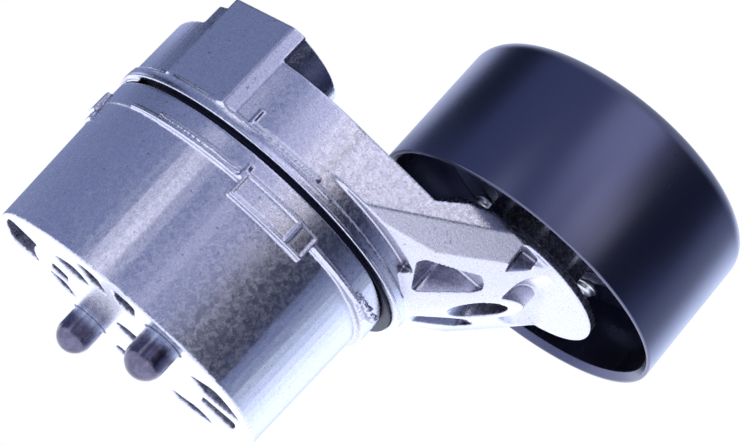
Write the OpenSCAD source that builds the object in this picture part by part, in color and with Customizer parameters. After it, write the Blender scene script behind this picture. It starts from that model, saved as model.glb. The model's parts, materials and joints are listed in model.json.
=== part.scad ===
// Belt tensioner with idler pulley for a heavy engine: cast spring housing, cast arm, smooth pulley.
// Origin: centre of the housing's mounting face. +Z runs along the arm pivot towards the pulley side,
// +X points from the arm pivot to the pulley axis. Millimetres.

/* [Layout] */
// Which sub-part to draw
// Distance between the arm pivot and the pulley axis
centre_distance = 59.5; // [50:0.5:75]

/* [Spring housing] */
// Radius of the housing wall at the mounting face
housing_r_back = 44.4; // [35:0.1:60]
// Radius of the housing wall just below the upper band
housing_r_front = 45.7; // [35:0.1:60]
// Radius of the upper band
band_r = 45.9; // [36:0.1:61]
// Height of the step between the wall and the upper band
band_z = 36.5; // [20:0.5:60]
// Height of the housing's open rim
housing_h = 43.6; // [25:0.1:70]
// Radius of the spring chamber
chamber_r = 36.5; // [30:0.1:55]
// Height of the chamber floor
floor_h = 12; // [6:0.5:20]
// Depth of the cored pockets in the mounting face
pocket_depth = 9; // [3:0.5:14]
// Radius of the relief that flattens the wall on the pulley side
relief_r = 59.8; // [50:0.1:120]

/* [Mounting] */
// Radius of the hole for the mounting bolt
bolt_hole_r = 6.3; // [4:0.05:9]
// Distance of each locating pin from the pivot axis
pin_pitch_r = 33.05; // [20:0.05:40]
// Direction of the first locating pin
pin_angle = -65; // [-180:0.5:180]
// Radius of a locating pin
pin_r = 5; // [3:0.05:8]
// How far a locating pin stands out of the mounting face
pin_reach = 10.7; // [4:0.1:20]
// Radius of the pin's shank, pressed into the housing
pin_shank_r = 4.5; // [2:0.05:7]

/* [Pivot] */
// Outer radius of the steel pivot tube
shaft_r = 11; // [8:0.1:16]
// Height of the pivot tube's front end
shaft_top = 66.5; // [50:0.5:90]
// Wall of the polymer pivot bush
bush_wall = 2.5; // [1:0.1:4]
// Radial play between the bush and the pivot tube
running_gap = 0.05; // [0.01:0.01:0.1]

/* [Spring] */
// Mean radius of the torsion spring coils
spring_r = 29.5; // [24:0.1:36]
// Radius of the spring wire
wire_r = 2.8; // [1.5:0.1:4]
// Number of coils
coils = 5.25; // [3:0.25:8]

/* [Arm] */
// Radius of the skirt that closes the gap to the housing
skirt_r = 46.7; // [36:0.1:62]
// Radius inside the skirt
skirt_in_r = 44.4; // [34:0.1:60]
// Height of the skirt's lower edge
skirt_z = 44.9; // [30:0.1:70]
// Height of the step above the skirt
skirt_top = 48; // [32:0.1:75]
// Radius of the arm hub
hub_r = 46; // [35:0.1:60]
// Height of the hub's front face
hub_top = 65.5; // [50:0.5:90]
// Radius of the cavity inside the hub
cup_r = 38.5; // [30:0.1:56]
// Radius of the round boss under the pulley
boss_r = 25; // [18:0.5:35]
// Radius of the collar around the bolt hole in the back of the boss
collar_r = 8.4; // [6:0.1:12]
// Radius of the open hole in the back of the boss
back_hole_r = 5.5; // [4:0.1:7]
// Height of the boss's flat back face
boss_z = 73.1; // [60:0.1:90]
// Thickness of the boss at its edge
boss_t = 2.2; // [1.5:0.1:8]
// Slope of the windowed back of the arm
web_slope = 43; // [20:1:60]
// Rounding radius of the windowed back of the arm
web_round = 78; // [50:1:150]
// Rounding radius of the other half of that back, which is flatter
web_round_far = 119; // [60:1:180]
// Radius of the neck between the boss and the bearing
neck_r = 14.5; // [10:0.1:20]
// Height of the tool block's front face
block_top = 73.3; // [66:0.1:90]
// Width across the square socket for the release tool
socket_w = 12.8; // [9:0.1:20]

/* [Pulley] */
// Radius of the smooth belt surface
pulley_r = 42; // [30:0.5:60]
// Thickness of the pulley rim
rim_t = 2.3; // [1.5:0.1:5]
// Height of the rim's rear edge
pulley_z0 = 74.1; // [60:0.1:95]
// Width of the belt surface with its rounded front corner
pulley_w = 40.3; // [20:0.5:60]
// Rounding of the front corner of the rim
rim_round = 4.5; // [1:0.1:8]
// Height of the rear face of the inner web
web_z = 94; // [80:0.5:105]
// Distance of the rivets from the pulley axis
rivet_pitch_r = 29.5; // [25:0.1:36]
// Radius of a rivet head
rivet_head_r = 2.75; // [1.5:0.05:4]

/* [Bearing] */
// Height of the bearing's rear face
bearing_z = 91; // [80:0.5:100]
// Width of the bearing
bearing_w = 14; // [8:0.5:24]
// Radius of the bearing bore
bearing_bore_r = 8.5; // [5:0.05:12.5]
// Outer radius of the bearing
bearing_r = 23.5; // [15:0.05:30]
// Radius of the circle of ball centres
ball_pitch_r = 16; // [10:0.1:24]
// Radius of a ball
ball_r = 4.35; // [2:0.05:7]
// Number of balls
balls = 7; // [5:1:12]

/* [Hidden] */
$fn = 72;
tangent_a = acos((hub_r - boss_r) / centre_distance);
wall_dir = 90 - tangent_a;
bush_r = shaft_r + running_gap + bush_wall;
sleeve_r = bush_r + 4;
pulley_z1 = pulley_z0 + pulley_w;
rim_in = pulley_r - rim_t;
bearing_z1 = bearing_z + bearing_w;
ball_z = bearing_z + bearing_w / 2;
plate_t = 2.3;
// a blend or tangent wall stands this far off the true tangent, so that faces cross cleanly
cross = 0.16;
// centre of the relief that flattens the housing wall, and how far the band stands out beyond it
relief_at = [-21, -4];
band_out = 3.4;
// radii of the blends between the round wall and the relief, on the wall and on the band
wall_blend = 25;
band_blend = 27;
// inner edge of every cast-on detail, safely inside the wall
pad_root = 43;
stop_root = 44.4;
// play between parts of different bodies in the gap around the skirt
gap_play = 0.3;
// lower end of the bearing sleeve and its bush; ends of the spring's centre line
sleeve_z = 19;
spring_z0 = 19;
spring_z1 = 54.5;
// both spring seats
seat_r = 34.5;
seat_play = 0.4;
// recess in the hub's front for the washer and the retaining plate
recess_r = 20;
recess_z = 62;
// damper shoe and its friction ring
damper_in_r = 33.2;
// rounding of the hub's front edge
hub_round = 3;
// chamfer along the lower edge of each side wall: a point on it, its slope and its tilt
leaf_at = [28.1, -38.4, 51.6];
leaf_slope = 33.3;
leaf_tilt = 15;
// where the inclined back starts beside the hub: out from the hub wall, and up to this height
root_out = 3.2;
root_z = 52.3;
// tool block: directions and offsets of its flat face and bevel, boss around the socket
block_face_dir = -114;
block_face_off = 0.25;
bevel_dir = -80.1;
bevel_off = -1.95;
tool_boss_at = [-17, -27.8];
tool_boss_r = 19.8;
tool_boss_z = 60.6;
socket_at = [-17, -31.6];
socket_depth = 3;
// round spot that leaves the flat back of the boss: centre along X, radius, edge rounding
scoop_x = 117.4;
scoop_r = 47.7;
scoop_round = 7;
// pulley bolt: shank, flange and hexagon head
bolt_r = 5;
flange_r = 11;
flange_t = 1.5;
head_r = 9.2;
head_h = 4.2;
// bearing: rings and seals
inner_ring_r = 12.6;
outer_ring_r = 19.4;
seal_in_r = 13;
seal_t = 1;
ball_play = 0.02;
// pulley: inner flange around the bearing carrier, rivets
flange_in_r = 25.5;
rivets = 5;
rivet_dir = 61;
rivet_hole_r = 1.6;

// Cored pockets in the mounting face: inner and outer radius, start and end angle, corner radius
POCKETS = [
  [33.5, 42.6, 173, 210, 2],
  [22.4, 27.6, -179, -157, 1.8],
  [23, 31.7, -137, -116, 2.6],
  [24, 30, 154, 176, 2],
  [27, 38.5, -109.5, -98, 2.2],
  [28, 40, -91, -80.5, 2.2],
  [31, 41, 99, 111, 2.4],
  [24, 36, -37, -11, 2.4],
  [22, 32.6, -1.5, 24, 1.6],
  [28, 36.4, 50, 75, 3]
];

// Ring between two radii and two heights
module ring(r_in, r_out, z0, z1) {
  translate([0, 0, z0])
    difference() {
      cylinder(r = r_out, h = z1 - z0);
      translate([0, 0, -1]) cylinder(r = r_in, h = z1 - z0 + 2);
    }
}

// Part of a ring between two angles
module sector(r_in, r_out, a0, a1, z0, z1) {
  rotate([0, 0, a0])
    rotate_extrude(angle = a1 - a0)
      translate([r_in, z0]) square([r_out - r_in, z1 - z0]);
}

// Centre of the arc that blends the round wall (radius r) into the relief (radius rr)
function blend_centre(r, rr, rho, side) =
  let (cx = -relief_at[0], cy = -relief_at[1], a = r - rho, b = rr - rho)
  let (k = b * b - a * a - cx * cx - cy * cy)
  let (p = k / (2 * cx), q = -cy / cx)
  let (qa = 1 + q * q, qb = 2 * p * q, qc = p * p - a * a)
  let (y = (-qb + side * sqrt(qb * qb - 4 * qa * qc)) / (2 * qa))
  [p + q * y, y];

// Material outside the blending arc, to be cut off; the wall tapers from r - d0 to r + d1
module blend_corner(r, rr, rho, d0, d1, z0, z1, side) {
  c = blend_centre(r, rr, rho, side);
  a0 = atan2(c[1], c[0]);
  a1 = atan2(c[1] - relief_at[1], c[0] - relief_at[0]);
  am = (a0 + a1) / 2;
  translate([c[0], c[1], z0])
    difference() {
      linear_extrude(height = z1 - z0)
        polygon([[0, 0], [60 * cos(a0), 60 * sin(a0)], [64 * cos(am), 64 * sin(am)], [60 * cos(a1), 60 * sin(a1)]]);
      translate([0, 0, -0.5]) cylinder(r1 = rho - d0 + cross, r2 = rho + d1 + cross, h = z1 - z0 + 1, $fn = 96);
    }
}

// Points of a small arc, centre given by radius and direction
function corner_arc(r, a, rc, b0, b1) =
  [for (k = [0:4]) let (b = b0 + (b1 - b0) * k / 4) [r * cos(a) + rc * cos(b), r * sin(a) + rc * sin(b)]];

// Outline of a curved pocket with rounded corners, anticlockwise
function pocket_outline(r_in, r_out, a0, a1, rc) =
  let (d_in = asin(rc / (r_in + rc)), d_out = asin(rc / (r_out - rc)), n = 6)
  concat(
    corner_arc(r_out - rc, a0 + d_out, rc, a0 - 90, a0 + d_out),
    [for (k = [1:n - 1]) let (a = a0 + d_out + (a1 - a0 - 2 * d_out) * k / n) r_out * [cos(a), sin(a)]],
    corner_arc(r_out - rc, a1 - d_out, rc, a1 - d_out, a1 + 90),
    corner_arc(r_in + rc, a1 - d_in, rc, a1 + 90, a1 + 180 - d_in),
    [for (k = [1:n - 1]) let (a = a1 - d_in - (a1 - a0 - 2 * d_in) * k / n) r_in * [cos(a), sin(a)]],
    corner_arc(r_in + rc, a0 + d_in, rc, a0 + 180 + d_in, a0 + 270)
  );

// Curved pocket with rounded corners in the mounting face
module arc_pocket(r_in, r_out, a0, a1, rc, depth) {
  translate([0, 0, -1])
    linear_extrude(height = depth + 1)
      polygon(pocket_outline(r_in, r_out, a0, a1, rc));
}

// Places a child on the pulley axis
module at_pulley() {
  translate([centre_distance, 0, 0]) children();
}

// Places a child at every locating pin
module at_pins() {
  for (a = [pin_angle, pin_angle + 194])
    rotate([0, 0, a]) translate([pin_pitch_r, 0, 0]) children();
}

module spring_housing() {
  color([0.74, 0.75, 0.8])
    difference() {
      union() {
        difference() {
          intersection() {
            cylinder(r1 = housing_r_back, r2 = housing_r_front, h = band_z);
            translate(relief_at) cylinder(r1 = relief_r, r2 = relief_r + housing_r_front - housing_r_back, h = band_z, $fn = 144);
          }
          for (side = [-1, 1])
            blend_corner(housing_r_back, relief_r, wall_blend, 0, housing_r_front - housing_r_back, -0.5, band_z + 0.5, side);
        }
        difference() {
          intersection() {
            ring(chamber_r - 1, band_r, band_z, housing_h);
            translate(relief_at) cylinder(r = relief_r + band_out, h = 60, $fn = 144);
          }
          for (side = [-1, 1])
            blend_corner(band_r, relief_r + band_out, band_blend, 0, 0, band_z - 1, housing_h + 1, side);
        }
        // stop pads cast on the wall
        sector(42, 46.9, -82, -61.5, 32.5, 39);
        sector(42, 46.6, -61.8, -54.5, 32.6, 38.9);
        sector(pad_root, 47.2, -160, -152, 33.6, 39.5);
        sector(pad_root, 46.3, -159.8, -151, 31, 33.8);
        // parting line ribs beside the pads
        sector(pad_root, 46.4, -114, -81.7, band_z - 0.2, 38);
        sector(pad_root, 46.4, -54.8, -29, band_z - 0.2, 37.6);
        // end stops for the arm, inside the gap
        for (a = [-161, 167])
          sector(stop_root, band_r - 0.2, a, a + 10, housing_h - 1, skirt_z - gap_play);
      }
      translate([0, 0, floor_h]) cylinder(r = chamber_r, h = housing_h);
      // hole for the mounting bolt and seat of the pivot tube
      translate([0, 0, -1]) cylinder(r = bolt_hole_r, h = floor_h + 2);
      translate([0, 0, 3]) cylinder(r = shaft_r, h = floor_h);
      at_pins() {
        translate([0, 0, -1]) cylinder(r = pin_shank_r, h = 9);
        translate([0, 0, -1]) cylinder(r = pin_r + 0.5, h = 1.6);
      }
      // cored pockets in the mounting face
      for (p = POCKETS)
        arc_pocket(p[0], p[1], p[2], p[3], p[4], pocket_depth);
    }
}

module locating_pins() {
  color([0.62, 0.63, 0.7])
    at_pins() {
      translate([0, 0, pin_r - pin_reach]) cylinder(r = pin_r, h = pin_reach - pin_r, $fn = 48);
      translate([0, 0, -0.5]) cylinder(r = pin_shank_r, h = 8.5, $fn = 48);
      translate([0, 0, pin_r - pin_reach]) sphere(r = pin_r, $fn = 48);
    }
}

module pivot_shaft() {
  color([0.7, 0.71, 0.73])
    ring(bolt_hole_r, shaft_r, 3, shaft_top);
}

// Point of the spring centre line at turn fraction t
function coil_point(t, z0, z1) = [360 * coils * t - 60, z0 + (z1 - z0) * t];

module torsion_spring() {
  n = 24 * coils;
  s = 8;
  pts = [for (i = [0:n]) let (p = coil_point(i / n, spring_z0, spring_z1))
    for (k = [0:s - 1]) let (r = spring_r + wire_r * cos(360 * k / s))
      [r * cos(p[0]), r * sin(p[0]), p[1] + wire_r * sin(360 * k / s)]];
  sides = [for (i = [0:n - 1]) for (k = [0:s - 1])
    [i * s + k, (i + 1) * s + k, (i + 1) * s + (k + 1) % s, i * s + (k + 1) % s]];
  caps = [[for (k = [0:s - 1]) k], [for (k = [s - 1:-1:0]) n * s + k]];
  color([0.3, 0.31, 0.34])
    polyhedron(points = pts, faces = concat(sides, caps));
}

module spring_seat() {
  color([0.18, 0.18, 0.2])
    difference() {
      ring(25, seat_r, floor_h, floor_h + 4.2);
      translate([0, 0, spring_z0]) rotate_extrude() translate([spring_r, 0]) circle(r = wire_r + seat_play, $fn = 32);
    }
}

module upper_spring_seat() {
  color([0.18, 0.18, 0.2])
    difference() {
      ring(26.3, seat_r, 56.2, 60);
      translate([0, 0, spring_z1]) rotate_extrude() translate([spring_r, 0]) circle(r = wire_r + seat_play, $fn = 32);
    }
}

module retaining_plate() {
  color([0.72, 0.73, 0.75])
    union() {
      ring(shaft_r, recess_r - 0.5, recess_z + 2, shaft_top - 0.5);
      ring(shaft_r, 15, shaft_top - 1, shaft_top + 0.6);
    }
}

module thrust_washer() {
  color([0.2, 0.2, 0.22])
    ring(shaft_r + 0.5, recess_r - 1, recess_z, recess_z + 1.95);
}

module pivot_bush() {
  color([0.75, 0.68, 0.5])
    ring(shaft_r + running_gap, bush_r, sleeve_z, recess_z - 0.4);
}

module damper_ring() {
  color([0.15, 0.15, 0.17])
    union() {
      ring(damper_in_r, chamber_r - running_gap, 30, 43.5);
      ring(damper_in_r, cup_r, housing_h + 0.5, 54);
    }
}

module gap_seal() {
  color([0.08, 0.08, 0.1])
    ring(cup_r + 0.1, skirt_in_r, housing_h + 0.5, skirt_top - 0.6);
}

// Plan outline of the arm: hub circle, boss circle and their two outer tangents
module arm_plan() {
  rh = hub_r - cross;
  rb = boss_r - cross;
  circle(r = hub_r);
  translate([centre_distance, 0]) circle(r = boss_r);
  polygon([
    [rh * cos(tangent_a), -rh * sin(tangent_a)],
    [centre_distance + rb * cos(tangent_a), -rb * sin(tangent_a)],
    [centre_distance + rb * cos(tangent_a), rb * sin(tangent_a)],
    [rh * cos(tangent_a), rh * sin(tangent_a)]
  ]);
}

// Half of the rounded, inclined back of the arm: a large cylinder on one side of the middle plane
module web_half(r, side) {
  intersection() {
    translate([hub_r + 0.7, 0, skirt_top])
      rotate([0, -web_slope, 0])
        translate([0, 0, r])
          rotate([0, 90, 0])
            cylinder(r = r, h = 360, center = true, $fn = 180);
    translate([-100, side > 0 ? -0.01 : -100, -50]) cube([300, 100.01, 200]);
  }
}

module web_round_body() {
  web_half(web_round, -1);
  web_half(web_round_far, 1);
}

// Chamfer along the lower edge of a side wall
module leaf_cut() {
  translate(leaf_at)
    rotate([0, 0, wall_dir])
      rotate([0, -leaf_slope, 0])
        rotate([leaf_tilt, 0, 0])
          translate([-60, -60, -80])
            cube([160, 60, 160]);
}

// Prism along Y used to shape the arm in side view
module side_prism(pts) {
  translate([0, 80, 0])
    rotate([90, 0, 0])
      linear_extrude(height = 160)
        polygon(pts);
}

// Rounded spot that leaves the flat back face of the boss
module boss_scoop() {
  difference() {
    translate([scoop_x, 0, 0]) {
      cylinder(r = scoop_r + scoop_round, h = boss_z - scoop_round, $fn = 180);
      cylinder(r = scoop_r, h = boss_z, $fn = 180);
      translate([0, 0, boss_z - scoop_round])
        rotate_extrude($fn = 180) translate([scoop_r, 0]) circle(r = scoop_round, $fn = 48);
    }
    // collar around the bolt hole stays
    at_pulley() cylinder(r = collar_r, h = 100);
  }
}

// Everything above a tilted plane through a point; gx and gy are its slopes
module above_plane(p, gx, gy) {
  translate(p)
    rotate([0, 0, atan2(gy, gx)])
      rotate([0, -atan(sqrt(gx * gx + gy * gy)), 0])
        translate([-150, -150, 0]) cube([300, 300, 300]);
}

module arm_beam() {
  difference() {
    intersection() {
      translate([0, 0, skirt_top - 0.6]) linear_extrude(height = boss_z + 0.7 - skirt_top) arm_plan();
      web_round_body();
      union() {
        // inclined lower edges of the two sides, and the root of the side walls at the hub
        intersection() {
          above_plane([31, -37, 51.3], 0.484, -0.374);
          above_plane([31, 37, 51.3], 0.484, 0.374);
        }
        side_prism([[-10, 40], [18, 40], [25.3, skirt_top - 0.6], [29.1, 51.4], [31.3, 53.5], [31.3, 100], [-10, 100]]);
      }
    }
    side_prism([[-70, hub_top - 0.3], [40.4, hub_top - 0.3], [46.5, 70.8], [52.5, boss_z + 0.1], [52.5, 100], [-70, 100]]);
    leaf_cut();
    mirror([0, 1, 0]) leaf_cut();
    boss_scoop();
  }
}

// Window in the arm: corner circles [x, y, radius] joined together
module window(corners, z0, z1) {
  translate([0, 0, z0])
    linear_extrude(height = z1 - z0)
      hull()
        for (c = corners)
          translate([c[0], c[1]]) circle(r = c[2], $fn = 32);
}

module arm_windows() {
  window([[47.3, -23.2, 2.5], [56.6, -17.2, 2.4], [57.2, -13.6, 1.9], [47.8, -15.2, 1.9]], 40, 62);
  window([[48.6, 3.6, 1.4], [56, 8, 1.5], [57.3, 13.6, 1.6], [56.2, 14.8, 1.4], [48.9, 6.2, 1.3]], 40, 61);
  at_pulley() cylinder(r = back_hole_r, h = 79.5);
  translate([61.6, -30, 60]) cube([4.4, 9.4, boss_z - 60.3]);
}

module tool_block() {
  // raised face on the hub wall, flat, with a bevelled right edge
  difference() {
    sector(cup_r + 1, hub_r + 1.3, -126.5, -97.3, skirt_top, block_top);
    rotate([0, 0, block_face_dir]) translate([hub_r + block_face_off, -30, 40]) cube([20, 60, 50]);
    rotate([0, 0, bevel_dir]) translate([hub_r + bevel_off, -30, 40]) cube([20, 60, 50]);
  }
  // round boss around the socket, flattened on its left
  intersection() {
    translate([tool_boss_at[0], tool_boss_at[1], tool_boss_z]) cylinder(r = tool_boss_r, h = block_top - tool_boss_z);
    cylinder(r = hub_r - 0.1, h = 100);
    union() {
      translate([-27.6, -60, 0]) cube([40, 60, 100]);
      translate([-32, -60, 0]) cube([40, 60, block_top - 2.4]);
    }
  }
}

module arm_casting() {
  color([0.76, 0.77, 0.82])
    difference() {
      union() {
        ring(skirt_in_r, skirt_r, skirt_z, skirt_top);
        ring(cup_r, hub_r, skirt_top - 0.6, hub_top - hub_round);
        // rounded front edge of the hub
        difference() {
          union() {
            translate([0, 0, 55]) cylinder(r = hub_r - hub_round, h = hub_top - 55);
            translate([0, 0, 55]) cylinder(r = hub_r, h = hub_top - 55 - hub_round);
            translate([0, 0, hub_top - hub_round])
              rotate_extrude() translate([hub_r - hub_round, 0]) circle(r = hub_round, $fn = 48);
          }
          translate([0, 0, 50]) cylinder(r = cup_r, h = 10);
        }
        translate([0, 0, sleeve_z]) cylinder(r = sleeve_r, h = hub_top - sleeve_z - 0.5);
        translate([0, 0, 55]) cylinder(r = 26, h = 8);
        tool_block();
        difference() {
          arm_beam();
          translate([0, 0, 40]) cylinder(r = cup_r + 1, h = 20);
          // the back stands off the hub wall at its two outer corners
          for (a = [-75, 24])
            sector(cup_r + 1, hub_r + root_out, a, a + 51, 45, root_z);
        }
        at_pulley() {
          translate([0, 0, boss_z]) cylinder(r = boss_r, h = boss_t);
          translate([0, 0, boss_z]) cylinder(r = neck_r, h = bearing_z - 1 - boss_z);
          translate([0, 0, boss_z]) cylinder(r = bearing_bore_r, h = bearing_z1 - 1.5 - boss_z);
        }
        // arm stops, inside the gap
        sector(44.8, skirt_r - 0.6, -150, -139.5, housing_h + gap_play, skirt_z + 1);
        sector(44.8, skirt_r - 0.6, 99, 110, housing_h + gap_play, skirt_z + 1);
      }
      translate([0, 0, 10]) cylinder(r = bush_r, h = 60);
      translate([0, 0, recess_z]) cylinder(r = recess_r, h = 20);
      at_pulley() translate([0, 0, 79]) cylinder(r = bolt_r, h = 40);
      arm_windows();
      // square socket for the release tool
      translate([socket_at[0], socket_at[1], hub_top - socket_depth])
        translate([-socket_w / 2, -socket_w / 2, 0]) cube([socket_w, socket_w, 20]);
    }
}

module bearing_spacer() {
  color([0.7, 0.71, 0.74])
    at_pulley() ring(bearing_bore_r, 12, bearing_z - 1, bearing_z);
}

module pulley_bolt() {
  color([0.55, 0.56, 0.6])
    at_pulley() {
      translate([0, 0, 80]) cylinder(r = bolt_r, h = bearing_z1 + 1 - 80);
      translate([0, 0, bearing_z1]) cylinder(r = flange_r, h = flange_t);
      translate([0, 0, bearing_z1 + 1]) cylinder(r = head_r, h = head_h, $fn = 6);
    }
}

module bearing_inner_ring() {
  color([0.78, 0.79, 0.82])
    at_pulley()
      difference() {
        ring(bearing_bore_r, inner_ring_r, bearing_z, bearing_z1);
        translate([0, 0, ball_z]) rotate_extrude() translate([ball_pitch_r, 0]) circle(r = ball_r + ball_play, $fn = 48);
      }
}

module bearing_outer_ring() {
  color([0.78, 0.79, 0.82])
    at_pulley()
      difference() {
        ring(outer_ring_r, bearing_r, bearing_z, bearing_z1);
        translate([0, 0, ball_z]) rotate_extrude() translate([ball_pitch_r, 0]) circle(r = ball_r + ball_play, $fn = 48);
      }
}

module bearing_balls() {
  color([0.85, 0.86, 0.88])
    at_pulley()
      for (i = [0:balls - 1])
        rotate([0, 0, 360 * i / balls]) translate([ball_pitch_r, 0, ball_z]) sphere(r = ball_r, $fn = 36);
}

module bearing_cage() {
  color([0.6, 0.45, 0.25])
    at_pulley()
      difference() {
        ring(14.8, 17.2, ball_z - 5.2, ball_z + 5.2);
        for (i = [0:balls - 1])
          rotate([0, 0, 360 * i / balls]) translate([ball_pitch_r - 3, 0, ball_z])
            rotate([0, 90, 0]) cylinder(r = ball_r + 0.1, h = 6, $fn = 48);
      }
}

module bearing_seal_rear() {
  color([0.1, 0.1, 0.12])
    at_pulley() ring(seal_in_r, outer_ring_r, bearing_z + 0.3, bearing_z + 0.3 + seal_t);
}

module bearing_seal_front() {
  color([0.1, 0.1, 0.12])
    at_pulley() ring(seal_in_r, outer_ring_r, bearing_z1 - 0.3 - seal_t, bearing_z1 - 0.3);
}

// Places a child at every rivet
module at_rivets() {
  for (i = [0:rivets - 1])
    rotate([0, 0, rivet_dir + 360 * i / rivets]) translate([rivet_pitch_r, 0, 0]) children();
}

// Holes for the rivets through both webs
module rivet_holes() {
  at_rivets() translate([0, 0, web_z - 2]) cylinder(r = rivet_hole_r, h = 12, $fn = 24);
}

module pulley_shell() {
  c = rim_round;
  color([0.1, 0.1, 0.13])
    at_pulley()
      difference() {
        union() {
          ring(rim_in, pulley_r, pulley_z0, pulley_z1 - c);
          // rounded front corner and front face
          difference() {
            union() {
              translate([0, 0, pulley_z1 - c]) rotate_extrude() translate([pulley_r - c, 0]) circle(r = c, $fn = 48);
              translate([0, 0, pulley_z1 - c]) cylinder(r = pulley_r - c, h = c);
            }
            translate([0, 0, pulley_z1 - c - 10]) cylinder(r = rim_in, h = 10);
            translate([0, 0, pulley_z1 - c]) cylinder(r = pulley_r - c, h = c - rim_t);
            translate([0, 0, pulley_z1 - c]) rotate_extrude() translate([pulley_r - c, 0]) circle(r = c - rim_t, $fn = 48);
            translate([0, 0, 80]) cylinder(r = flange_in_r, h = 60);
          }
          ring(flange_in_r, 27, web_z + plate_t, pulley_z1 - 1);
          ring(flange_in_r, 34, web_z + plate_t, web_z + 2 * plate_t);
        }
        rivet_holes();
      }
}

module bearing_carrier() {
  color([0.12, 0.12, 0.15])
    at_pulley()
      difference() {
        union() {
          ring(bearing_r, 25.3, bearing_z + 0.5, bearing_z1 + 1);
          ring(bearing_r, rim_in - 0.3, web_z, web_z + plate_t);
        }
        rivet_holes();
      }
}

module carrier_rivets() {
  h = rivet_head_r * 0.7;
  ball = (rivet_head_r * rivet_head_r + h * h) / (2 * h);
  color([0.85, 0.86, 0.88])
    at_pulley()
      at_rivets() {
        intersection() {
          translate([0, 0, web_z - h + ball]) sphere(r = ball, $fn = 48);
          translate([0, 0, web_z - h]) cylinder(r = 8, h = h);
        }
        translate([0, 0, web_z - 0.5]) cylinder(r = rivet_hole_r, h = 2 * plate_t + 1, $fn = 24);
        translate([0, 0, web_z + 2 * plate_t]) cylinder(r = rivet_hole_r + 0.5, h = 1.4, $fn = 24);
      }
}

module dust_cap() {
  color([0.1, 0.1, 0.12])
    at_pulley() {
      translate([0, 0, pulley_z1 - 2.6]) cylinder(r = 25.45, h = 1.6);
      ring(23.9, 25.45, bearing_z1 + 1.4, pulley_z1 - 2);
    }
}

spring_housing();
locating_pins();
pivot_shaft();
torsion_spring();
spring_seat();
retaining_plate();
arm_casting();
pivot_bush();
thrust_washer();
damper_ring();
gap_seal();
upper_spring_seat();
bearing_spacer();
pulley_bolt();
bearing_inner_ring();
pulley_shell();
bearing_carrier();
carrier_rivets();
bearing_outer_ring();
bearing_seal_rear();
bearing_seal_front();
dust_cap();
bearing_balls();
bearing_cage();
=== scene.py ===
import bpy, bmesh, json, math, random
from mathutils import Matrix, Vector

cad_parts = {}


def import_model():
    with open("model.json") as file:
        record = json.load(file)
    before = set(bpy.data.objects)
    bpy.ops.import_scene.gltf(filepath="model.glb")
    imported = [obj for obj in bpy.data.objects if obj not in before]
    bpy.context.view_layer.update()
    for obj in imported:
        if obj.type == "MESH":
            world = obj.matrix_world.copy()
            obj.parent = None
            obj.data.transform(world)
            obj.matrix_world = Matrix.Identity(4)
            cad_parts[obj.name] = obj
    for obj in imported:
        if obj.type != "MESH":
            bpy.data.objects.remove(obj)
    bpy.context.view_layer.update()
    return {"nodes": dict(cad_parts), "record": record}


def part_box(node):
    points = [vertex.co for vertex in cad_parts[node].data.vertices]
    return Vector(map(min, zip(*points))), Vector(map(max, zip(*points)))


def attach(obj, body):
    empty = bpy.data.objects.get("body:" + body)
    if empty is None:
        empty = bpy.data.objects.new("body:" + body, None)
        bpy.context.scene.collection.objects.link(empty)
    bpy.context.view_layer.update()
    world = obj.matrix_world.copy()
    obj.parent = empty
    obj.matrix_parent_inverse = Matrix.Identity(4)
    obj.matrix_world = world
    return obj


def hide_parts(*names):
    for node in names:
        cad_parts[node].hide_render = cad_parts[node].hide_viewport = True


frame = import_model()
MM = 0.001
random.seed(7)
scene = bpy.context.scene

# ---------------------------------------------------------------- camera
cam = bpy.data.objects.new("camera", bpy.data.cameras.new("camera"))
scene.collection.objects.link(cam)
scene.camera = cam
cam_at = Vector((0.115955, -0.384816, -0.050674))
look = Vector((-0.22241, 0.93623, 0.27203)).normalized()
level = (Vector((0, 0, 1)) - look * look.z).normalized()
side = look.cross(level)
roll = math.radians(-41.949)
SENSOR_MM = 36
up = level * math.cos(roll) + side * math.sin(roll)
right = look.cross(up)
cam.matrix_world = Matrix.Translation(cam_at) @ Matrix((right, up, -look)).transposed().to_4x4()
cam.data.sensor_width = SENSOR_MM
cam.data.lens = 78.7576
cam.data.clip_start = 0.01
cam.data.clip_end = 20

# ---------------------------------------------------------------- studio
scene.view_settings.view_transform = "Standard"
scene.view_settings.look = "None"


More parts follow.
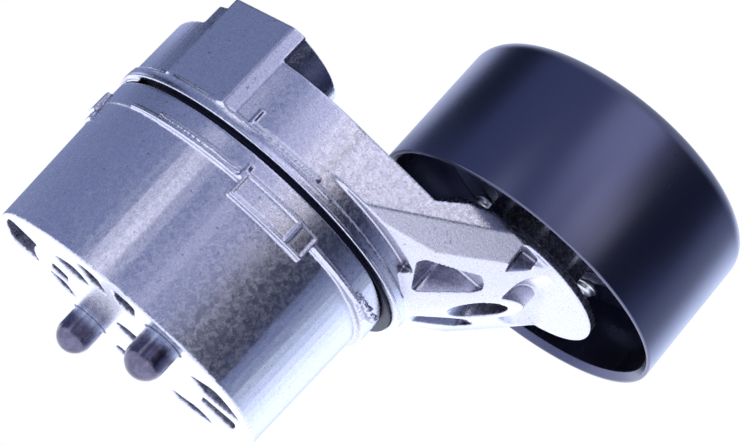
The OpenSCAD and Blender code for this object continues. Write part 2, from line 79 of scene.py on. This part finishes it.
def world():
    """Studio surroundings as soft panels, placed by azimuth and by height (sine of elevation)

    The camera itself sees plain white behind the floor; the panels only light and reflect.
    """
    w = bpy.data.worlds.new("studio")
    scene.world = w
    w.use_nodes = True
    nt = w.node_tree
    nt.nodes.clear()
    out = nt.nodes.new("ShaderNodeOutputWorld")
    tc = nt.nodes.new("ShaderNodeTexCoord")
    xyz = nt.nodes.new("ShaderNodeSeparateXYZ")
    nt.links.new(tc.outputs["Generated"], xyz.inputs[0])
    flat = nt.nodes.new("ShaderNodeVectorMath")
    flat.operation = "MULTIPLY"
    flat.inputs[1].default_value = (1, 1, 0)
    nt.links.new(tc.outputs["Generated"], flat.inputs[0])
    unit = nt.nodes.new("ShaderNodeVectorMath")
    unit.operation = "NORMALIZE"
    nt.links.new(flat.outputs[0], unit.inputs[0])

    def ramp(value, low, high):
        r = nt.nodes.new("ShaderNodeMapRange")
        r.interpolation_type = "SMOOTHSTEP"
        r.inputs["From Min"].default_value = low
        r.inputs["From Max"].default_value = high
        nt.links.new(value, r.inputs["Value"])
        return r.outputs["Result"]

    def times(a, b):
        m = nt.nodes.new("ShaderNodeMath")
        m.operation = "MULTIPLY"
        nt.links.new(a, m.inputs[0])
        nt.links.new(b, m.inputs[1])
        return m.outputs[0]

    def panel(under, colour, azimuth=None, full=0, fade=0, bottom=None, top=None):
        """Lays a panel over what is there

        full and fade are half widths in degrees; bottom and top are pairs of heights, dark then bright
        """
        mask = None
        if azimuth is not None:
            dot = nt.nodes.new("ShaderNodeVectorMath")
            dot.operation = "DOT_PRODUCT"
            a = math.radians(azimuth)
            dot.inputs[1].default_value = (math.cos(a), math.sin(a), 0)
            nt.links.new(unit.outputs[0], dot.inputs[0])
            mask = ramp(dot.outputs["Value"], math.cos(math.radians(fade)), math.cos(math.radians(full)))
        for edge in (bottom, top):
            if edge:
                m = ramp(xyz.outputs["Z"], *edge)
                mask = times(mask, m) if mask else m
        m = nt.nodes.new("ShaderNodeMix")
        m.data_type = "RGBA"
        nt.links.new(mask, m.inputs["Factor"])
        if isinstance(under, tuple):
            m.inputs["A"].default_value = (*under, 1)
        else:
            nt.links.new(under, m.inputs["A"])
        m.inputs["B"].default_value = (*colour, 1)
        return m.outputs["Result"]

    ambient = (0.25, 0.305, 0.52)
    panels = (
        ((1.05, 1.15, 1.55), dict(azimuth=122, full=8, fade=38, bottom=(0.24, 0.34))),
        ((0.015, 0.025, 0.06), dict(azimuth=-34, full=8, fade=34)),
        ((0.56, 0.65, 0.82), dict(azimuth=55, full=16, fade=54)),
        ((1.50, 1.70, 2.20), dict(azimuth=66, full=2, fade=31)),
        ((0.02, 0.03, 0.07), dict(azimuth=-14, full=6, fade=30, bottom=(0.27, 0.33))),
        ((0.03, 0.05, 0.09), dict(azimuth=172, full=10, fade=28, bottom=(0.24, 0.30))),
        ((1.65, 1.65, 1.78), dict(azimuth=-121, full=3.5, fade=8, top=(0.26, 0.21))),
        ((0.85, 0.87, 1.12), dict(azimuth=-87, full=1.5, fade=5)),
        ((1.20, 1.24, 1.60), dict(azimuth=-81, full=9, fade=26, bottom=(0.31, 0.36))),
        ((2.70, 2.58, 2.60), dict(azimuth=-61, full=9, fade=19, bottom=(0.24, 0.265), top=(0.37, 0.31))),
        ((0.95, 0.95, 1.10), dict(azimuth=-44, full=10, fade=22, top=(-0.01, -0.09))),
        ((1.75, 1.82, 2.00), dict(azimuth=100, full=50, fade=80, top=(0.06, -0.06))),
        ((1.10, 1.15, 1.30), dict(top=(-0.35, -0.75))),
        ((0.80, 0.86, 1.00), dict(bottom=(0.55, 0.90))),
    )
    light = ambient
    for colour, place in panels:
        light = panel(light, colour, **place)
    bg = nt.nodes.new("ShaderNodeBackground")
    nt.links.new(light, bg.inputs["Color"])
    white = nt.nodes.new("ShaderNodeBackground")
    white.inputs["Color"].default_value = (1, 1, 1, 1)
    lp = nt.nodes.new("ShaderNodeLightPath")
    mx = nt.nodes.new("ShaderNodeMixShader")
    nt.links.new(lp.outputs["Is Camera Ray"], mx.inputs[0])
    nt.links.new(bg.outputs[0], mx.inputs[1])
    nt.links.new(white.outputs[0], mx.inputs[2])
    nt.links.new(mx.outputs[0], out.inputs["Surface"])


world()


# ---------------------------------------------------------------- materials
def new_material(name):
    m = bpy.data.materials.new(name)
    m.use_nodes = True
    nt = m.node_tree
    nt.nodes.clear()
    out = nt.nodes.new("ShaderNodeOutputMaterial")
    bsdf = nt.nodes.new("ShaderNodeBsdfPrincipled")
    nt.links.new(bsdf.outputs[0], out.inputs["Surface"])
    return m, nt, bsdf


def noise(nt, scale, detail=2.0, rough=0.5, distortion=0.0, stretch=None):
    tc = nt.nodes.new("ShaderNodeTexCoord")
    n = nt.nodes.new("ShaderNodeTexNoise")
    n.inputs["Scale"].default_value = scale
    n.inputs["Detail"].default_value = detail
    n.inputs["Roughness"].default_value = rough
    n.inputs["Distortion"].default_value = distortion
    if stretch:
        mp = nt.nodes.new("ShaderNodeMapping")
        mp.inputs["Scale"].default_value = stretch
        nt.links.new(tc.outputs["Object"], mp.inputs["Vector"])
        nt.links.new(mp.outputs["Vector"], n.inputs["Vector"])
    else:
        nt.links.new(tc.outputs["Object"], n.inputs["Vector"])
    return n.outputs["Fac"]


def remap(nt, value, a, b, c, d, smooth=True):
    r = nt.nodes.new("ShaderNodeMapRange")
    r.interpolation_type = "SMOOTHSTEP" if smooth else "LINEAR"
    r.inputs["From Min"].default_value = a
    r.inputs["From Max"].default_value = b
    r.inputs["To Min"].default_value = c
    r.inputs["To Max"].default_value = d
    nt.links.new(value, r.inputs["Value"])
    return r.outputs["Result"]


def blend_color(nt, fac, a, b, mode="MIX"):
    m = nt.nodes.new("ShaderNodeMix")
    m.data_type = "RGBA"
    m.blend_type = mode
    nt.links.new(fac, m.inputs["Factor"])
    for key, v in (("A", a), ("B", b)):
        if isinstance(v, tuple):
            m.inputs[key].default_value = (*v, 1)
        else:
            nt.links.new(v, m.inputs[key])
    return m.outputs["Result"]


def bump(nt, bsdf, layers):
    last = None
    for height, strength, distance in layers:
        b = nt.nodes.new("ShaderNodeBump")
        b.inputs["Strength"].default_value = strength
        b.inputs["Distance"].default_value = distance
        nt.links.new(height, b.inputs["Height"])
        if last:
            nt.links.new(last, b.inputs["Normal"])
        last = b.outputs["Normal"]
    nt.links.new(last, bsdf.inputs["Normal"])


def painted_hollow_shade(nt, colour, painted_shade_colour, distance, low=0.25, high=0.85):
    """Painted shade: hollows and tight gaps take a darker colour, driven by ambient occlusion"""
    ao = nt.nodes.new("ShaderNodeAmbientOcclusion")
    ao.samples = 6
    ao.inputs["Distance"].default_value = distance
    return blend_color(nt, remap(nt, ao.outputs["AO"], low, high, 1, 0), colour, painted_shade_colour)


def cast_material(name, base, dark, warm, rough=0.235, painted_shade_colour=(0.060, 0.050, 0.095)):
    """Die-cast aluminium: finely grained, with small dark pits and faint scuffs, and painted shade in hollows
    and gaps
    """
    m, nt, bsdf = new_material(name)
    blotch = remap(nt, noise(nt, 150, 3, 0.6), 0.35, 0.65, 0, 0.16)
    patch = remap(nt, noise(nt, 800, 5, 0.75, 0.3), 0.36, 0.64, 0, 1)
    grain = noise(nt, 2300, 4, 0.7)
    pits = remap(nt, noise(nt, 1100, 2, 0.5), 0.67, 0.74, 0, 1)
    scuff = remap(nt, noise(nt, 460, 3, 0.6, 0.8, (0.3, 0.3, 1.9)), 0.63, 0.72, 0, 1)
    c = blend_color(nt, blotch, base, dark)
    c = blend_color(nt, remap(nt, patch, 0, 1, 0, 0.22, False), c, warm)
    c = blend_color(nt, remap(nt, grain, 0.35, 0.65, 0, 0.50), c, tuple(x * 0.60 for x in base))
    c = blend_color(nt, remap(nt, pits, 0, 1, 0, 0.65, False), c, (0.16, 0.14, 0.20))
    c = blend_color(nt, remap(nt, scuff, 0, 1, 0, 0.16, False), c, (0.95, 0.95, 1.0))
    # painted shade: the colour darkens where ambient occlusion finds hollows and gaps between parts
    nt.links.new(painted_hollow_shade(nt, c, painted_shade_colour, 0.005), bsdf.inputs["Base Color"])
    bsdf.inputs["Metallic"].default_value = 1.0
    nt.links.new(remap(nt, patch, 0, 1, rough - 0.03, rough + 0.07, False), bsdf.inputs["Roughness"])
    skin = noise(nt, 1700, 4, 0.6)
    bump(nt, bsdf, [(skin, 0.20, 0.00009), (grain, 0.22, 0.00007), (pits, -0.5, 0.00008)])
    return m


def pin_material(name, base, painted_dark_end, z0, z1):
    """Steel pin: lighter shank above z1 as painted reflection, darker end below z0 as painted shade
    (millimetres)
    """
    m, nt, bsdf = new_material(name)
    tc = nt.nodes.new("ShaderNodeTexCoord")
    xyz = nt.nodes.new("ShaderNodeSeparateXYZ")
    nt.links.new(tc.outputs["Object"], xyz.inputs[0])
    # painted shade on the end below z0, painted reflection on the shank above z1
    painted_shade_to_light = remap(nt, xyz.outputs["Z"], z0 * MM, z1 * MM, 0, 1)
    grain = noise(nt, 900, 4, 0.7)
    spots = remap(nt, noise(nt, 420, 3, 0.6), 0.40, 0.62, 0, 0.6)
    c = blend_color(nt, spots, painted_dark_end, tuple(x * 1.7 for x in painted_dark_end))
    c = blend_color(nt, painted_shade_to_light, c, base)
    nt.links.new(c, bsdf.inputs["Base Color"])
    bsdf.inputs["Metallic"].default_value = 1.0
    bsdf.inputs["Roughness"].default_value = 0.20
    bump(nt, bsdf, [(grain, 0.45, 0.00014)])
    return m


def machined_material(name, base, rough=0.30):
    """Turned or ground steel with fine concentric marks"""
    m, nt, bsdf = new_material(name)
    lines = noise(nt, 900, 2, 0.5, 0, (0.15, 0.15, 4))
    tint = remap(nt, noise(nt, 140, 3), 0.35, 0.65, 0, 1)
    nt.links.new(blend_color(nt, tint, base, tuple(x * 0.72 for x in base)), bsdf.inputs["Base Color"])
    bsdf.inputs["Metallic"].default_value = 1.0
    nt.links.new(remap(nt, lines, 0.3, 0.7, rough - 0.06, rough + 0.08), bsdf.inputs["Roughness"])
    bump(nt, bsdf, [(lines, 0.15, 0.00006)])
    return m


def polymer_material(name, base, rough=0.6):
    """Moulded polymer or rubber with a fine grain"""
    m, nt, bsdf = new_material(name)
    tint = remap(nt, noise(nt, 170, 3), 0.35, 0.65, 0, 1)
    nt.links.new(blend_color(nt, tint, base, tuple(x * 0.7 + 0.004 for x in base)), bsdf.inputs["Base Color"])
    nt.links.new(remap(nt, noise(nt, 700, 2), 0.3, 0.7, rough - 0.08, rough + 0.08), bsdf.inputs["Roughness"])
    bump(nt, bsdf, [(noise(nt, 1600, 2), 0.2, 0.00008)])
    return m


def coating_material(name, base, rough):
    """Satin black coating on pressed steel, with handling smudges and a very fine orange peel"""
    m, nt, bsdf = new_material(name)
    cloud = remap(nt, noise(nt, 28, 5, 0.62, 0.4), 0.50, 0.74, 0, 1)
    fine = noise(nt, 850, 3, 0.6)
    c = blend_color(nt, remap(nt, cloud, 0, 1, 0, 0.18, False), base, tuple(x * 1.35 for x in base))
    dust = remap(nt, noise(nt, 1900, 1, 0.4), 0.74, 0.80, 0, 0.08)
    nt.links.new(blend_color(nt, dust, c, (0.30, 0.30, 0.40)), bsdf.inputs["Base Color"])
    bsdf.inputs["Metallic"].default_value = 1.0
    nt.links.new(remap(nt, cloud, 0, 1, rough, rough + 0.06, False), bsdf.inputs["Roughness"])
    bump(nt, bsdf, [(fine, 0.10, 0.00006)])
    return m


mat = {
    "cast_aluminium": cast_material(
        "cast_aluminium", base=(0.62, 0.62, 0.73), dark=(0.50, 0.50, 0.64), warm=(0.74, 0.70, 0.76)),
    "pin_steel": pin_material(
        "pin_steel", base=(0.38, 0.42, 0.54), painted_dark_end=(0.11, 0.10, 0.15), z0=-3.2, z1=-0.4),
    "steel": machined_material("steel", (0.62, 0.62, 0.66)),
    "spring_steel": machined_material("spring_steel", (0.20, 0.20, 0.23), 0.4),
    "bolt_steel": machined_material("bolt_steel", (0.52, 0.52, 0.58), 0.34),
    "bearing_steel": machined_material("bearing_steel", (0.78, 0.79, 0.83), 0.18),
    # rivet steel colour, set near-white as painted light that brightens the heads inside the shaded hollow of
    # the pulley
    "rivet_steel": machined_material("rivet_steel", (0.95, 0.96, 1.0), 0.34),
    "polymer": polymer_material("polymer", (0.012, 0.012, 0.018), 0.7),
    "bush_polymer": polymer_material("bush_polymer", (0.50, 0.40, 0.25)),
    # the seal is a modelled part; its near-black metallic colour is painted shade, standing in for the shaded
    # recess between housing and arm skirt
    "seal_rubber": coating_material("seal_rubber", (0.018, 0.020, 0.042), 0.48),
    "cage_brass": machined_material("cage_brass", (0.60, 0.45, 0.22), 0.35),
    "black_coating": coating_material("black_coating", (0.105, 0.110, 0.175), 0.27),
}

slots = {s["node"]: s["material_slot"] for s in frame["record"]["subparts"]}
for name, ob in frame["nodes"].items():
    ob.data.materials.clear()
    ob.data.materials.append(mat[slots[name]])

# ---------------------------------------------------------------- shapes
AXIS = Vector((0.0595, 0, 0))


def to_object(name, bm, slot):
    me = bpy.data.meshes.new(name)
    bm.to_mesh(me)
    bm.free()
    ob = bpy.data.objects.new(name, me)
    scene.collection.objects.link(ob)
    me.materials.append(mat[slot])
    return ob


def lathe(profile, n, centre):
    """Turn a closed profile of (radius, height) millimetres about Z"""
    bm = bmesh.new()
    rings = []
    for k in range(n):
        a = 2 * math.pi * k / n
        rings.append([
            bm.verts.new((
                centre[0] * MM + r * MM * math.cos(a),
                centre[1] * MM + r * MM * math.sin(a),
                z * MM))
            for r, z in profile])
    m = len(profile)
    for k in range(n):
        a, b = rings[k], rings[(k + 1) % n]
        for i in range(m):
            j = (i + 1) % m
            bm.faces.new((a[i], b[i], b[j], a[j]))
    bmesh.ops.recalc_face_normals(bm, faces=bm.faces)
    return bm


def fillet(points, n=6):
    """Profile with rounded corners: points are (x, y, radius)"""
    out = []
    m = len(points)
    for i, (x, y, r) in enumerate(points):
        p = Vector((x, y))
        if r <= 0:
            out.append((x, y))
            continue
        a = (Vector(points[i - 1][:2]) - p).normalized()
        b = (Vector(points[(i + 1) % m][:2]) - p).normalized()
        half = a.angle(b) / 2
        cut = r / math.tan(half)
        c = p + (a + b).normalized() * (r / math.sin(half))
        s, e = p + a * cut - c, p + b * cut - c
        turn = s.angle_signed(e)
        for k in range(n + 1):
            v = s.copy()
            v.rotate(Matrix.Rotation(-turn * k / n, 2))
            out.append(tuple(c + v))
    return out


def sector_bm(bm, r0, r1, a0, a1, z0, z1, step=1.5):
    """A closed piece of a ring added to bm"""
    n = max(2, int(abs(a1 - a0) / step))
    loops = []
    for k in range(n + 1):
        a = math.radians(a0 + (a1 - a0) * k / n)
        c, s = math.cos(a) * MM, math.sin(a) * MM
        corners = ((r0, z0), (r1, z0), (r1, z1), (r0, z1))
        loops.append([bm.verts.new((r * c, r * s, z * MM)) for r, z in corners])
    for k in range(n):
        for i in range(4):
            j = (i + 1) % 4
            bm.faces.new((loops[k][i], loops[k][j], loops[k + 1][j], loops[k + 1][i]))
    bm.faces.new(loops[0][::-1])
    bm.faces.new(loops[-1])


def cast_piece(name, node, body, extra, slot):
    """The CAD shape with its cast-on details, made one skin with soft edges; extra is used up"""
    bm = bmesh.new()
    bm.from_mesh(frame["nodes"][node].data)
    bmesh.ops.remove_doubles(bm, verts=bm.verts, dist=1e-7)
    tmp = bpy.data.meshes.new("tmp")
    bmesh.ops.recalc_face_normals(extra, faces=extra.faces)
    extra.to_mesh(tmp)
    extra.free()
    bm.from_mesh(tmp)
    bpy.data.meshes.remove(tmp)
    ob = to_object(name, bm, slot)
    rm = ob.modifiers.new("skin", "REMESH")
    rm.mode = "VOXEL"
    rm.voxel_size = VOXEL * MM
    rm.use_smooth_shade = True
    sm = ob.modifiers.new("soften", "SMOOTH")
    sm.factor = 0.5
    sm.iterations = SMOOTHING
    dg = bpy.context.evaluated_depsgraph_get()
    dg.update()
    me = bpy.data.meshes.new_from_object(ob.evaluated_get(dg), depsgraph=dg)
    ob.modifiers.clear()
    old = ob.data
    ob.data = me
    bpy.data.meshes.remove(old)
    me.materials.clear()
    me.materials.append(mat[slot])
    for p in ob.data.polygons:
        p.use_smooth = True
    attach(ob, body)
    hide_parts(node)
    return ob


# grain of the cast skins, in millimetres, and how often their edges are softened
VOXEL = 0.30
SMOOTHING = 3

# every added detail starts this far from the pivot axis, inside the wall
ROOT = 44.5

# housing: thin lips round the stop pads, rib lines, a post and the ragged parting flash
h = bmesh.new()
# start and end angle, lower and upper height, outer radius of each lip
for a0, a1, z0, z1, r in (
    (-81.9, -61.6, 38.5, 39.1, 47.15), (-82.1, -81.3, 32.4, 39.2, 47.2), (-82, -61.5, 32.4, 33.0, 47.2),
    (-61.9, -61.2, 32.4, 39.1, 47.2), (-61.5, -54.5, 32.5, 33.0, 46.9), (-55.1, -54.5, 32.4, 39.0, 46.9),
):
    sector_bm(h, ROOT, r, a0, a1, z0, z1)
sector_bm(h, ROOT, 46.6, -129, -118, 36.6, 37.2)
sector_bm(h, ROOT, 46.72, -122, -82, 36.5, 37.1)
sector_bm(h, ROOT, 46.65, -116, -82, 37.9, 38.4)
sector_bm(h, ROOT, 47.2, -83.3, -82.2, 37.0, 40.6)
sector_bm(h, ROOT, 46.75, -54.5, -29.5, 37.0, 37.7)
LUMPS, LUMP_STEP, FIRST_LUMP = 26, 0.62, -31
for k in range(LUMPS):
    a0 = FIRST_LUMP + LUMP_STEP * k + random.uniform(-0.3, 0.3)
    z0 = 37.4 + random.uniform(0, 1.2)
    r = 46.0 + random.uniform(0.1, 0.8)
    a1 = a0 + random.uniform(0.5, 1.2)
    z1 = z0 + random.uniform(0.5, 1.7)
    sector_bm(h, 43.5, r, a0, a1, z0, z1, 0.5)
cast_piece("housing_casting", "spring_housing", "base", h, "cast_aluminium")

# arm: two lips along the skirt, L-shaped mark on the hub wall
h = bmesh.new()
SKIRT_Z = 44.9
sector_bm(h, 45.6, 46.92, -150, 80, SKIRT_Z + 0.05, SKIRT_Z + 0.6)
sector_bm(h, 45.6, 46.88, -150, -60, 47.5, 48.0)
sector_bm(h, ROOT, 46.6, -91.8, -90.9, 48.0, 52.5)
sector_bm(h, ROOT, 46.5, -91.3, -66, 48.5, 49.1)


cast_piece("arm_casting_skin", "arm_casting", "arm", h, "cast_aluminium")

# rivets: domed heads with a small dimple on a flared collar, shank and closed end
RIVETS, FIRST_RIVET, RIVET_PITCH_R, RIVET_SIDES = 5, 61, 29.5, 40
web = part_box("bearing_carrier")[0].z / MM
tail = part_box("carrier_rivets")[1].z / MM
h = bmesh.new()
for k in range(RIVETS):
    a = math.radians(FIRST_RIVET + 360 / RIVETS * k)
    at = (AXIS.x / MM + RIVET_PITCH_R * math.cos(a), RIVET_PITCH_R * math.sin(a))
    outline = fillet([
        (0.02, tail, 0), (2.1, tail, 0.3), (2.1, tail - 1.4, 0), (1.58, tail - 1.4, 0),
        (1.58, web + 0.3, 0), (3.3, web + 0.3, 0), (3.3, web - 0.35, 0.2), (2.9, web - 0.45, 0.1),
        (2.5, web - 1.5, 0.6), (1.1, web - 1.9, 0.3), (0.6, web - 1.6, 0.1), (0.02, web - 1.6, 0)], 4)
    one = lathe(outline, RIVET_SIDES, at)
    part = bpy.data.meshes.new("part")
    one.to_mesh(part)
    one.free()
    h.from_mesh(part)
    bpy.data.meshes.remove(part)
heads = to_object("rivet_heads", h, "rivet_steel")
for p in heads.data.polygons:
    p.use_smooth = True
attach(heads, "pulley")
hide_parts("carrier_rivets")

# pulley rim: turned profile with rounded lip and corner
lo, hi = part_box("pulley_shell")
z0, z1 = lo.z / MM, hi.z / MM
R = (hi.x - lo.x) / 2 / MM
RIM_T = 2.3
HOLE_R = 25.5
prof = fillet([
    (R - RIM_T, z0 + 1.8, 0.8), (R - 0.9, z0, 0.3), (R, z0, 0.4), (R, z1, 4.5),
    (HOLE_R, z1, 0.5), (HOLE_R, z1 - RIM_T, 0.2), (R - RIM_T, z1 - RIM_T, 2.2)], 8)
rim = to_object("pulley_rim", lathe(prof, 256, (AXIS.x / MM, 0)), "black_coating")
for p in rim.data.polygons:
    p.use_smooth = True
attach(rim, "pulley")
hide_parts("pulley_shell")

# ---------------------------------------------------------------- floor
bm = bmesh.new()
bmesh.ops.create_grid(bm, x_segments=8, y_segments=8, size=1.6)
floor = to_object("floor", bm, "polymer")
FLOOR_Z = -0.35
floor.location.z = FLOOR_Z
fm, fnt, fb = new_material("floor_pale")
pale = blend_color(fnt, noise(fnt, 3, 2), (0.90, 0.90, 0.91), (0.86, 0.86, 0.88))
fnt.links.new(pale, fb.inputs["Base Color"])
fb.inputs["Roughness"].default_value = 0.8
# the floor gives off some light, because the mounting face reflects it
fb.inputs["Emission Color"].default_value = (0.95, 0.98, 1.0, 1)
fb.inputs["Emission Strength"].default_value = 0.9
floor.data.materials.clear()
floor.data.materials.append(fm)
